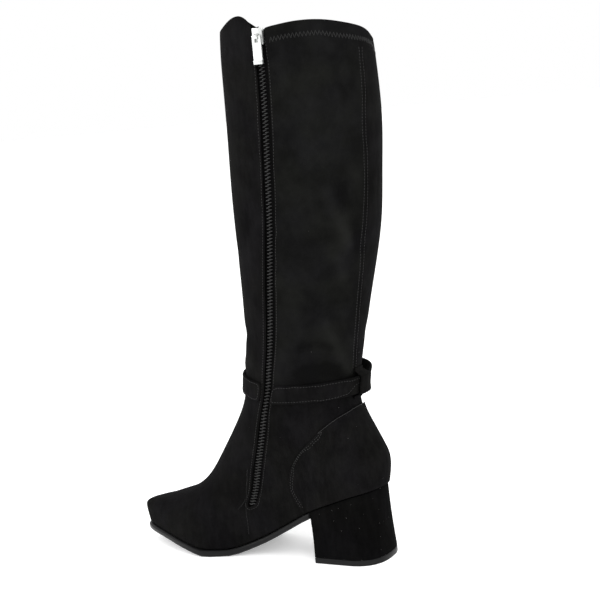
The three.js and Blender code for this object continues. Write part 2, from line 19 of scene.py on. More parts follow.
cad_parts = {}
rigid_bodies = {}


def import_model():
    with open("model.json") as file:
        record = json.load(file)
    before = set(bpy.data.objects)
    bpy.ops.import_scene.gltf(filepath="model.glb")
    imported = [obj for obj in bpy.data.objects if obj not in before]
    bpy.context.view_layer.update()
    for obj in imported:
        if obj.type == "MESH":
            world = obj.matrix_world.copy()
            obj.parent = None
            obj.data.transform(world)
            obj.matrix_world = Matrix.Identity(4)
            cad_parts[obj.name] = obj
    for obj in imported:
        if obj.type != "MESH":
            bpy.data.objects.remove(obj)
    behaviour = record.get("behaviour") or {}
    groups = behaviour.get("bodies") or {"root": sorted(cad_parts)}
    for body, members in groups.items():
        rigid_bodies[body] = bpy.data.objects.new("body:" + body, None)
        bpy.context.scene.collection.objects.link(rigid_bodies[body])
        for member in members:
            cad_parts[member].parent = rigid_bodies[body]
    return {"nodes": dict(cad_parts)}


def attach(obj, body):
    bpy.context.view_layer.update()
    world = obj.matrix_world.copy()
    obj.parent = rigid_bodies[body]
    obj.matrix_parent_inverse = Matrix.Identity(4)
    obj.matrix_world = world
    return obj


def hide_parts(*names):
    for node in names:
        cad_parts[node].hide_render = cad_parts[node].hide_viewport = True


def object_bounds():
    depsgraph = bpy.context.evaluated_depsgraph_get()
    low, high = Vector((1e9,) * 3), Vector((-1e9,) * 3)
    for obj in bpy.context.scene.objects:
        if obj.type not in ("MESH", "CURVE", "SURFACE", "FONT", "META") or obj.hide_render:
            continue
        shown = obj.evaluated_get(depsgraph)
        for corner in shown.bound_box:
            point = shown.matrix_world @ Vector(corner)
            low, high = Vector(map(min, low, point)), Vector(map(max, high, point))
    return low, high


bl_info = {
    "name": "Knee-high boot",
    "version": (1, 0, 0),
    "blender": (4, 5, 0),
    "location": "3D View > Sidebar > Boot",
    "description": "Dresses the packed knee-high boot and sets its stage",
    "category": "Object",
}

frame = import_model()
CAD_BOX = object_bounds()

MILLIMETRE = 0.001
MERGE_DISTANCE = 0.00002
QUAD_ANGLE = math.radians(70)
BEVEL_ANGLE = math.radians(40)

# The least share of a face's normal that points out of the boot, for the face to count as outside
LOOKS_OUT = 0.3
LOOKS_WELL_OUT = 0.5

# How high thread lies over the surface that it is sewn to
THREAD_LIFT = 0.0001


# Sizes and colours that a user would change


def length(name, description, default):
    return FloatProperty(name=name, description=description, default=default, unit="LENGTH", precision=5)


def colour(name, description, default):
    return FloatVectorProperty(
        name=name, description=description, default=default, subtype="COLOR", size=3, min=0, max=1
    )


class BootSizes(bpy.types.PropertyGroup):
    stitch_pitch: length("Stitch pitch", "From one stitch to the next", 0.0025)
    stitch_length: length("Stitch length", "Length of one stitch", 0.0017)
    stitch_thickness: length("Thread", "Thickness of the sewing thread", 0.00055)
    seam_inset: length("Seam inset", "From an edge to its row of stitches", 0.0021)
    zip_seam_inset: length("Zip seam inset", "From the zip's slot to its row of stitches", 0.0024)
    fold_inset: length("Folded edge", "From the zip's middle to the ridge of the folded edge", 0.0066)
    fold_height: length("Folded edge height", "How far the folded edge stands up", 0.0006)
    tooth_pitch: length("Tooth pitch", "From one zip tooth to the next on a side", 0.0030)
    tooth_reach: length("Tooth reach", "How far a tooth reaches across the zip", 0.0040)
    elastic_drop: length("Elastic drop", "From the collar's edge to the zigzag", 0.0125)
    elastic_height: length("Zigzag height", "Height of the zigzag stitching", 0.0042)
    elastic_step: length("Zigzag step", "From one corner of the zigzag to the next", 0.0015)
    seam_groove: length("Seam groove", "Depth of the closed seams", 0.0007)


class BootColours(bpy.types.PropertyGroup):
    # The suede's and the stretch panel's two colours also carry the painted light and shade on the upper's
    # folds
    suede_dark: colour("Suede, dark", "Where the nap lies away from the light", (0.0024, 0.0023, 0.0024))
    suede_light: colour("Suede, light", "Where the nap stands up", (0.0082, 0.0080, 0.0082))
    stretch_dark: colour("Stretch, dark", "Stretch panel behind the zip", (0.0030, 0.0030, 0.0030))
    stretch_light: colour("Stretch, light", "Stretch panel where it is rubbed", (0.0100, 0.0102, 0.0099))
    # Painted shade: the covered heel is the same suede, painted darker by this share because less light
    # reaches it under the boot
    heel_shade_share: FloatProperty(name="Heel", description="How dark the heel is beside the rest", default=0.5)
    thread: colour("Thread", "Sewing thread", (0.0230, 0.0228, 0.0225))
    # Nearly black: besides the tape's own dark colour, this paints the shade in the gaps beside the coil
    tape: colour("Zip tape", "Woven tape", (0.0015, 0.0015, 0.0015))
    coil: colour("Zip coil", "Nylon coil", (0.0300, 0.0300, 0.0295))
    sole: colour("Sole", "Polished sole and heel tip", (0.0080, 0.0080, 0.0082))
    lining: colour("Lining", "Insole and inside", (0.0120, 0.0115, 0.0110))


# Objects and meshes


def only(piece):
    bpy.ops.object.select_all(action="DESELECT")
    piece.select_set(True)
    bpy.context.view_layer.objects.active = piece


def apply_modifier(piece, kind, **settings):
    only(piece)
    modifier = piece.modifiers.new(kind.lower(), kind)
    for name, value in settings.items():
        setattr(modifier, name, value)
    bpy.ops.object.modifier_apply(modifier=modifier.name)


def subdivide(piece, levels):
    apply_modifier(piece, "SUBSURF", levels=levels, render_levels=levels)


def round_edges(piece, width):
    """Rounds a hard piece's edges by a width and leaves its faces as they are."""
    apply_modifier(
        piece, "BEVEL", width=width, segments=2, limit_method="ANGLE", angle_limit=BEVEL_ANGLE
    )


def crease(piece, degrees, weight):
    """Keeps a piece's sharp edges from melting away when it is subdivided."""
    mesh = bmesh.new()
    mesh.from_mesh(piece.data)
    layer = mesh.edges.layers.float.new("crease_edge")
    for edge in mesh.edges:
        if edge.is_manifold and edge.calc_face_angle() > math.radians(degrees):
            edge[layer] = weight
    mesh.to_mesh(piece.data)
    mesh.free()


def smooth_faces(piece, degrees=None):
    only(piece)
    if degrees is None:
        bpy.ops.object.shade_smooth()
    else:
        bpy.ops.object.shade_smooth_by_angle(angle=math.radians(degrees))


def new_piece(name, mesh):
    piece = bpy.data.objects.new(name, mesh)
    bpy.context.scene.collection.objects.link(piece)
    return piece


def copy_of(node, name):
    """A CAD node's mesh as a piece of its own, with its triangles merged into a quad cage."""
    piece = new_piece(name, frame["nodes"][node].data.copy())
    piece.data.materials.clear()
    only(piece)
    bpy.ops.object.mode_set(mode="EDIT")
    bpy.ops.mesh.select_all(action="SELECT")
    bpy.ops.mesh.remove_doubles(threshold=MERGE_DISTANCE)
    bpy.ops.mesh.tris_convert_to_quads(face_threshold=QUAD_ANGLE, shape_threshold=QUAD_ANGLE)
    bpy.ops.mesh.customdata_custom_splitnormals_clear()
    bpy.ops.object.mode_set(mode="OBJECT")
    return piece


def finish_piece(piece, material, body, slot, *nodes):
    piece.data.materials.clear()
    piece.data.materials.append(material)
    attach(piece, body)
    if nodes:
        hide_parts(*nodes)
    return piece


def points_of(mesh):
    points = np.empty(len(mesh.vertices) * 3)
    mesh.vertices.foreach_get("co", points)
    return points.reshape(-1, 3)


def normals_of(mesh):
    normals = np.empty(len(mesh.vertices) * 3)
    mesh.vertices.foreach_get("normal", normals)
    return normals.reshape(-1, 3)


def set_points(mesh, points):
    mesh.vertices.foreach_set("co", points.astype(np.float32).ravel())
    mesh.update()


def set_attribute(mesh, name, values):
    attribute = mesh.attributes.new(name, "FLOAT", "POINT")
    attribute.data.foreach_set("value", values.astype(np.float32))


def smooth_step(values, low, high):
    share = np.clip((values - low) / (high - low), 0, 1)
    return share * share * (3 - 2 * share)


def copies_joined(name, model, places):
    """One mesh with a copy of a small model at each place, a 4x4 matrix."""
    points = points_of(model)
    faces = [tuple(polygon.vertices) for polygon in model.polygons]
    every_point, every_face = [], []
    for index, place in enumerate(places):
        matrix = np.array(place)
        every_point.append(points @ matrix[:3, :3].T + matrix[:3, 3])
        start = index * len(points)
        every_face.extend(tuple(start + vertex for vertex in face) for face in faces)
    mesh = bpy.data.meshes.new(name)
    mesh.from_pydata(np.vstack(every_point).tolist(), [], every_face)
    mesh.update()
    return new_piece(name, mesh)


# The middle of the boot's inside, from the toe up to the collar, and its branch into the heel

INSIDE_LINE = np.array(
    [
        (0.196, -0.004, 0.024),
        (0.130, -0.003, 0.034),
        (0.088, 0.000, 0.062),
        (0.050, 0.000, 0.105),
        (0.040, 0.000, 0.150),
        (0.030, 0.000, 0.200),
        (0.020, 0.000, 0.260),
        (0.013, 0.000, 0.320),
        (0.009, 0.000, 0.400),
        (0.006, 0.000, 0.464),
    ]
)
HEEL_LINE = np.array([(0.050, 0.000, 0.105), (0.004, 0.000, 0.098)])

# Its stretch up the shaft, the shaft's rough radius, and a distance that is well outside the boot
SHAFT_LINE = INSIDE_LINE[3:]
SHAFT_RADIUS = 0.05
BEYOND_BOOT = 0.3


def nearest_on_line(points, line):
    """The nearest place on a line of points, and how far away it is, for each point."""
    best = np.full(len(points), np.inf)
    found = np.zeros_like(points)
    for start, end in zip(line[:-1], line[1:]):
        run = end - start
        share = np.clip((points - start) @ run / (run @ run), 0, 1)
        place = start + share[:, None] * run
        distance = np.linalg.norm(points - place, axis=1)
        nearer = distance < best
        best[nearer] = distance[nearer]
        found[nearer] = place[nearer]
    return found, best


def away_from_inside(points):
    """The direction out of the boot at each point."""
    main, far = nearest_on_line(points, INSIDE_LINE)
    heel, near = nearest_on_line(points, HEEL_LINE)
    place = np.where((near < far)[:, None], heel, main)
    away = points - place
    return away / np.linalg.norm(away, axis=1, keepdims=True)


def facing(mesh):
    """1 on a wall's outside, -1 on its inside, for each point of a mesh."""
    return np.sign(np.einsum("ij,ij->i", normals_of(mesh), away_from_inside(points_of(mesh))))


def look_out(centres, normals, least):
    """Which faces look out of the boot, from their centres and normals."""
    return np.einsum("ij,ij->i", normals, away_from_inside(centres)) > least


def faces_of(mesh):
    """The centre and the normal of each face of a mesh."""
    centres = np.array([polygon.center for polygon in mesh.polygons])
    normals = np.array([polygon.normal for polygon in mesh.polygons])
    return centres, normals


class Surface:
    """The outside of a piece, to lay seams and stitches on."""

    def __init__(self, piece, least=LOOKS_OUT):
        mesh = piece.data
        outside = look_out(*faces_of(mesh), least)
        faces = [tuple(mesh.polygons[int(index)].vertices) for index in np.flatnonzero(outside)]
        self.tree = BVHTree.FromPolygons([vertex.co for vertex in mesh.vertices], faces)

    def nearest(self, point):
        place, normal, _, _ = self.tree.find_nearest(Vector(point))
        return place, normal

    def around(self, turn, height):
        """The place at a turn round the shaft, in degrees from the front over the inner side."""
        middle = Vector([np.interp(height, SHAFT_LINE[:, 2], SHAFT_LINE[:, axis]) for axis in range(3)])
        middle.z = height
        direction = Vector((math.cos(math.radians(turn)), math.sin(math.radians(turn)), 0))
        place, _, _, _ = self.tree.ray_cast(middle + direction * BEYOND_BOOT, -direction)
        if place is None or (place - middle).dot(direction) < 0:
            place, _ = self.nearest(middle + direction * SHAFT_RADIUS)
        return place


def resample(points, pitch):
    """Points a pitch apart along a line, from its start to near its end."""
    points = np.array([tuple(point) for point in points])
    steps = np.linalg.norm(np.diff(points, axis=0), axis=1)
    run = np.concatenate([[0], np.cumsum(steps)])
    places = np.arange(0, run[-1], pitch)
    return np.column_stack([np.interp(places, run, points[:, axis]) for axis in range(3)])


def soften(points, rounds=3, closed=False):
    """A line with its corners eased, its ends kept."""
    points = np.array(points)
    for _ in range(rounds):
        if closed:
            points = (np.roll(points, 1, 0) + 2 * points + np.roll(points, -1, 0)) / 4
        else:
            points[1:-1] = (points[:-2] + 2 * points[1:-1] + points[2:]) / 4
    return points


def outside_border(node):
    """The edge loops round the outside of a CAD node that wraps the boot, as lists of points."""
    mesh = bmesh.new()
    mesh.from_mesh(frame["nodes"][node].data)
    bmesh.ops.remove_doubles(mesh, verts=mesh.verts, dist=MERGE_DISTANCE)
    centres = np.array([tuple(face.calc_center_median()) for face in mesh.faces])
    normals = np.array([tuple(face.normal) for face in mesh.faces])
    outside = look_out(centres, normals, LOOKS_WELL_OUT)
    mesh.faces.index_update()
    links = {}
    for edge in mesh.edges:
        if sum(bool(outside[face.index]) for face in edge.link_faces) == 1:
            start, end = edge.verts
            links.setdefault(start.index, []).append(end.index)
            links.setdefault(end.index, []).append(start.index)
    mesh.verts.ensure_lookup_table()
    loops = []
    left = set(links)
    while left:
        loop = [min(left)]
        left.discard(loop[0])
        for _ in range(2):
            onward = [index for index in links[loop[-1]] if index in left]
            while onward:
                loop.append(onward[0])
                left.discard(onward[0])
                onward = [index for index in links[loop[-1]] if index in left]
            loop.reverse()
        loops.append(np.array([tuple(mesh.verts[index].co) for index in loop]))
    mesh.free()
    return sorted(loops, key=len, reverse=True)


def inset_line(points, surface, distance, closed=False):
    """A line moved over a surface by a distance to its left, seen from outside."""
    moved = []
    count = len(points)
    for index, point in enumerate(points):
        before = points[(index - 1) % count] if closed else points[max(index - 1, 0)]
        after = points[(index + 1) % count] if closed else points[min(index + 1, count - 1)]
        _, normal = surface.nearest(point)
        along = Vector(after - before).normalized()
        place, _ = surface.nearest(Vector(point) + normal.cross(along).normalized() * distance)
        moved.append(tuple(place))
    return np.array(moved)


# Stitches and the zip's line

# How much thinner and lower a stitch is at its ends, as a share of its thickness
STITCH_TAPER = 0.45

# Points of the chain that lie further apart in height than this belong to two of its sections
CHAIN_SECTION_GAP = 1.6 * MILLIMETRE


def turn_to(first, second, third):
    """The turn that takes x, y and z to three directions."""
    return Matrix((first, second, third)).transposed().to_4x4()


def flat_on(run, normal):
    """A run's direction, laid flat on a surface by its normal."""
    along = run.normalized()
    return (along - normal * along.dot(normal)).normalized()


def stitch_model(sizes):
    """One stitch along x, lying on z 0: a rounded bar pulled into the surface at both ends."""
    bpy.ops.object.select_all(action="DESELECT")
    bpy.ops.mesh.primitive_cylinder_add(
        vertices=6,
        radius=sizes.stitch_thickness / 2,
        depth=sizes.stitch_length,
        end_fill_type="NGON",
        rotation=(0, math.pi / 2, 0),
    )
    stitch = bpy.context.active_object
    bpy.ops.object.transform_apply(location=True, rotation=True, scale=True)
    bpy.ops.object.mode_set(mode="EDIT")
    bpy.ops.mesh.select_all(action="SELECT")
    bpy.ops.mesh.subdivide(number_cuts=1)
    bpy.ops.object.mode_set(mode="OBJECT")
    mesh = stitch.data
    points = points_of(mesh)
    share = np.abs(points[:, 0]) / (sizes.stitch_length / 2)
    taper = STITCH_TAPER * share**2
    points[:, 1:] *= (1 - taper)[:, None]
    points[:, 2] -= sizes.stitch_thickness * taper
    set_points(mesh, points)
    bpy.data.objects.remove(stitch)
    return mesh


def stitch_places(line, surface, pitch, lift=THREAD_LIFT):
    """The place of each stitch along a line on a surface."""
    places = []
    points = resample(line, pitch)
    for before, after in zip(points[:-1], points[1:]):
        place, normal = surface.nearest((before + after) / 2)
        along = flat_on(Vector(after - before), normal)
        turn = turn_to(along, normal.cross(along), normal)
        places.append(Matrix.Translation(place + normal * lift) @ turn)
    return places


def near_zip(points, reach):
    """Which points lie beside the zip."""
    return nearest_on_line(points, zip_middle())[1] < reach


def zip_middle():
    """The middle of the zip's outer face, from the foot up, read from its CAD node."""
    points = points_of(frame["nodes"]["zip_chain"].data)
    points = points[np.argsort(points[:, 2])]
    rows = np.split(points, np.flatnonzero(np.diff(points[:, 2]) > CHAIN_SECTION_GAP) + 1)
    line = []
    for row in rows:
        outer = row[row[:, 1] > row[:, 1].mean()]
        line.append(outer.mean(axis=0))
    return np.array(line)


# Materials

# A colour Mix node's sockets: its two colours, and the mixed one
MIX_COLOURS = (6, 7)
MIXED_COLOUR = 2


class Nodes:
    """A material's node tree with short calls for the nodes that the finishes share."""

    def __init__(self, name):
        self.material = bpy.data.materials.new(name)
        self.material.use_nodes = True
        self.tree = self.material.node_tree
        self.shader = self.tree.nodes["Principled BSDF"]
        self.place = self.add("ShaderNodeTexCoord").outputs["Object"]

    def add(self, kind, **settings):
        node = self.tree.nodes.new(kind)
        for name, value in settings.items():
            setattr(node, name, value)
        return node

    def link(self, output, target):
        self.tree.links.new(output, target)

    def plain(self, **values):
        for name, value in values.items():
            self.shader.inputs[name.replace("_", " ")].default_value = value

    def noise(self, scale, detail, roughness, stretch=None):
        node = self.add("ShaderNodeTexNoise")
        node.inputs["Scale"].default_value = scale
        node.inputs["Detail"].default_value = detail
        node.inputs["Roughness"].default_value = roughness
        place = self.place
        if stretch is not None:
            mapping = self.add("ShaderNodeMapping")
            mapping.inputs["Scale"].default_value = stretch
            self.link(self.place, mapping.inputs["Vector"])
            place = mapping.outputs["Vector"]
        self.link(place, node.inputs["Vector"])
        return node.outputs["Fac"]

    def attribute(self, name):
        return self.add("ShaderNodeAttribute", attribute_name=name).outputs["Fac"]

    def math(self, operation, first, second):
        node = self.add("ShaderNodeMath", operation=operation)
        for index, value in enumerate((first, second)):
            if isinstance(value, (int, float)):
                node.inputs[index].default_value = value
            else:
                self.link(value, node.inputs[index])
        return node.outputs["Value"]

    def ramp(self, value, low, high):
        node = self.add("ShaderNodeMapRange")
        node.inputs["From Min"].default_value = low
        node.inputs["From Max"].default_value = high
        self.link(value, node.inputs["Value"])
        return node.outputs["Result"]

    def weighted(self, *terms):
        """The sum of some outputs, each times its weight."""
        total = None
        for output, weight in terms:
            term = self.math("MULTIPLY", output, weight)
            total = term if total is None else self.math("ADD", total, term)
        return total

    def mix(self, first, second, **settings):
        """A Mix node of two colours, each a value or another node's output."""
        node = self.add("ShaderNodeMix", data_type="RGBA", **settings)
        for index, value in zip(MIX_COLOURS, (first, second)):
            if isinstance(value, bpy.types.NodeSocket):
                self.link(value, node.inputs[index])
            else:
                node.inputs[index].default_value = (*value, 1)
        return node

    def blend(self, share, first, second):
        node = self.mix(first, second)
        self.link(share, node.inputs["Factor"])
        return node.outputs[MIXED_COLOUR]

    def tinted(self, output, first, second):
        """A colour with two faint tints that drift over it."""
        drift = self.ramp(self.noise(26, detail=3, roughness=0.5), 0.4, 0.6)
        node = self.mix(output, self.blend(drift, first, second), blend_type="MULTIPLY")
        node.inputs["Factor"].default_value = 1
        return node.outputs[MIXED_COLOUR]

    def colour(self, output):
        self.link(output, self.shader.inputs["Base Color"])

    def bump(self, height, distance, strength, under=None):
        node = self.add("ShaderNodeBump")
        node.inputs["Distance"].default_value = distance
        node.inputs["Strength"].default_value = strength
        self.link(height, node.inputs["Height"])
        if under is not None:
            self.link(under, node.inputs["Normal"])
        self.link(node.outputs["Normal"], self.shader.inputs["Normal"])
        return node.outputs["Normal"]


def suede(name, dark, light, nap=1.0, stretch=None):
    """Napped suede: the nap's brushed patches and its fibres. Given the stretch panel's two colours, it also
    reads the piece's panel attribute and its attribute of nap patches with painted light and shade on the
    folds."""
    nodes = Nodes(name)
    patches = nodes.ramp(nodes.noise(38, detail=5, roughness=0.66), 0.40, 0.68)
    brushed = nodes.noise(210, detail=4, roughness=0.7, stretch=(1, 1, 0.30))
    brushed = nodes.ramp(brushed, 0.38, 0.72)
    fibres = nodes.noise(2600, detail=2, roughness=0.6)
    share = nodes.weighted((patches, 0.42), (brushed, 0.32 * nap), (nodes.ramp(fibres, 0.35, 0.75), 0.20))
    if stretch is None:
        tone = nodes.blend(share, dark, light)
    else:
        # Nap patches, with painted light on the folds that stand out and painted shade in those that sink in
        # and beside the back seam
        tone_and_painted_light = nodes.attribute("tone_and_painted_light")
        weave = nodes.ramp(nodes.noise(900, detail=3, roughness=0.6, stretch=(1, 1, 3.0)), 0.3, 0.8)
        woven_share = nodes.weighted((patches, 0.44), (weave, 0.26))
        tone = nodes.blend(nodes.math("ADD", share, tone_and_painted_light), dark, light)
        panel_tone = nodes.blend(nodes.math("ADD", woven_share, tone_and_painted_light), *stretch)
        tone = nodes.blend(nodes.attribute("panel"), tone, panel_tone)
    nodes.colour(nodes.tinted(tone, (1.0, 1.01, 0.94), (0.99, 0.98, 1.03)))
    nodes.plain(
        Roughness=0.92,
        Specular_IOR_Level=0.02,
        Sheen_Weight=0.006,
        Sheen_Roughness=0.42,
        Sheen_Tint=(0.55, 0.56, 0.58, 1),
    )
    coarse = nodes.bump(brushed, 0.00025, strength=0.5)
    nodes.bump(fibres, 0.00012, strength=0.7, under=coarse)
    return nodes.material


def polished(name, base, roughness):
    """Polished rubber with the faint unevenness of a finished edge."""
    nodes = Nodes(name)
    haze = nodes.noise(60, detail=4, roughness=0.6)
    scuffs = nodes.noise(420, detail=5, roughness=0.75, stretch=(0.35, 0.35, 3))
    scuffs = nodes.ramp(scuffs, 0.55, 0.8)
    lighter_tone = tuple(channel * 2.6 + 0.006 for channel in base)
    nodes.colour(nodes.blend(nodes.math("MULTIPLY", scuffs, 0.4), base, lighter_tone))
    rough = nodes.add("ShaderNodeMapRange")
    rough.inputs["To Min"].default_value = roughness * 0.8
    rough.inputs["To Max"].default_value = roughness * 1.3
    nodes.link(haze, rough.inputs["Value"])
    nodes.link(rough.outputs["Result"], nodes.shader.inputs["Roughness"])
    nodes.plain(Specular_IOR_Level=0.10)
    nodes.bump(haze, 0.0004, strength=0.3)
    return nodes.material


def woven(name, base):
    """Ribbed tape: fine ribs along the zip with a slight fuzz."""
    nodes = Nodes(name)
    ribs = nodes.add("ShaderNodeTexWave", wave_type="BANDS", bands_direction="Z")
    ribs.inputs["Scale"].default_value = 420
    nodes.link(nodes.place, ribs.inputs["Vector"])
    fuzz = nodes.noise(1500, detail=3, roughness=0.6)
    light = tuple(channel * 2.2 for channel in base)
    nodes.colour(nodes.blend(nodes.math("MULTIPLY", ribs.outputs["Fac"], fuzz), base, light))
    nodes.plain(Roughness=0.9, Specular_IOR_Level=0.05)
    nodes.bump(ribs.outputs["Fac"], 0.0002, strength=0.7)
    return nodes.material


def nylon(name, base, roughness):
    """Spun or moulded nylon, faintly mottled: thread, coil and lint."""
    nodes = Nodes(name)
    mottle = nodes.noise(700, detail=3, roughness=0.6)
    dark = tuple(channel * 0.6 for channel in base)
    nodes.colour(nodes.blend(nodes.ramp(mottle, 0.3, 0.7), dark, base))
    nodes.plain(Roughness=roughness, Specular_IOR_Level=0.2)
    nodes.bump(mottle, 0.00005, strength=0.5)
    return nodes.material


def lining_leather(name, base):
    """Smooth leather with fine cells and slow stains."""
    nodes = Nodes(name)
    grain = nodes.add("ShaderNodeTexVoronoi", feature="DISTANCE_TO_EDGE")
    grain.inputs["Scale"].default_value = 900
    nodes.link(nodes.place, grain.inputs["Vector"])
    stains = nodes.noise(45, detail=4, roughness=0.6)
    light = tuple(channel * 1.7 for channel in base)
    nodes.colour(nodes.blend(nodes.ramp(stains, 0.3, 0.7), base, light))
    nodes.plain(Roughness=0.7)
    nodes.bump(nodes.ramp(grain.outputs["Distance"], 0, 0.2), 0.0001, strength=0.6)
    return nodes.material


def material_named(name, make):
    """The material of that name, made once."""
    found = bpy.data.materials.get(name)
    return found if found is not None else make(name)


def upper_suede(colours):
    return material_named(
        "upper_suede",
        lambda name: suede(
            name,
            tuple(colours.suede_dark),
            tuple(colours.suede_light),
            stretch=(tuple(colours.stretch_dark), tuple(colours.stretch_light)),
        ),
    )


def plain_suede(colours):
    return material_named(
        "plain_suede", lambda name: suede(name, tuple(colours.suede_dark), tuple(colours.suede_light), 1.2)
    )


# The suede painted darker for the heel block: painted shade under the boot
def heel_suede(colours):
    dark, light = (
        tuple(channel * colours.heel_shade_share for channel in tone)
        for tone in (colours.suede_dark, colours.suede_light)
    )
    return material_named("heel_suede", lambda name: suede(name, dark, light, 1.3))


def thread_material(colours):
    return material_named("thread", lambda name: nylon(name, tuple(colours.thread), 0.55))


def sole_material(colours):
    return material_named("sole", lambda name: polished(name, tuple(colours.sole), 0.3))


# Soft folds in the upper, listed one by one: each is a line of turn in degrees and height, its half width
# and how far it sinks in (minus) or stands out

FOLDS = [
    {"line": [(134, 0.322), (142, 0.299), (152, 0.277)], "width": 0.0050, "out": 0.0011},
    {"line": [(146, 0.320), (155, 0.294), (163, 0.270)], "width": 0.0055, "out": -0.0010},
    {"line": [(140, 0.275), (150, 0.250)], "width": 0.0045, "out": 0.0009},
    {"line": [(138, 0.213), (145, 0.200), (155, 0.184), (167, 0.166)], "width": 0.0042, "out": 0.0013},
    {"line": [(114, 0.193), (130, 0.195), (146, 0.191)], "width": 0.0040, "out": -0.0012},
    {"line": [(116, 0.170), (133, 0.174), (149, 0.170)], "width": 0.0065, "out": -0.0013},
    {"line": [(40, 0.205), (20, 0.200), (0, 0.206), (-25, 0.200)], "width": 0.0070, "out": -0.0012},
    {"line": [(45, 0.180), (20, 0.174), (0, 0.180), (-30, 0.176)], "width": 0.0070, "out": 0.0011},
    {"line": [(-60, 0.214), (-95, 0.202), (-130, 0.206), (-160, 0.198)], "width": 0.0070, "out": -0.0014},
    {"line": [(-65, 0.196), (-100, 0.186), (-140, 0.190)], "width": 0.0065, "out": 0.0012},
    {"line": [(-80, 0.330), (-110, 0.318), (-140, 0.324)], "width": 0.0080, "out": -0.0010},
    {"line": [(60, 0.300), (45, 0.280), (30, 0.272)], "width": 0.0070, "out": -0.0008},
]

# The closed seam up the back, by turn and height from the collar down
BACK_SEAM = [
    (170, 0.432),
    (169, 0.402),
    (167, 0.371),
    (168, 0.330),
    (166, 0.300),
    (166, 0.275),
    (169, 0.240),
    (171, 0.200),
    (174, 0.166),
]

# Steps from one given place to the next on a line over the shaft
LINE_STEPS = 12


def line_on(surface, turns):
    """A smooth line over the shaft through places given by turn and height."""
    turns = np.array(turns, float)
    share = np.linspace(0, len(turns) - 1, LINE_STEPS * (len(turns) - 1) + 1)
    index = np.arange(len(turns))
    stepped = np.column_stack([np.interp(share, index, turns[:, axis]) for axis in range(2)])
    smooth = soften(stepped, LINE_STEPS // 2)
    return np.array([tuple(surface.around(turn, height)) for turn, height in smooth])


def turn_of(points):
    """Each point's turn round the shaft in degrees, from the front over the inner side."""
    middle = np.interp(points[:, 2], SHAFT_LINE[:, 2], SHAFT_LINE[:, 0])
    return np.degrees(np.arctan2(points[:, 1], points[:, 0] - middle))


def hump(distance, width, middle=0.0):
    """A smooth hump of height 1 beside a line, by the distance from the line."""
    return np.exp(-(((distance - middle) / width) ** 2))


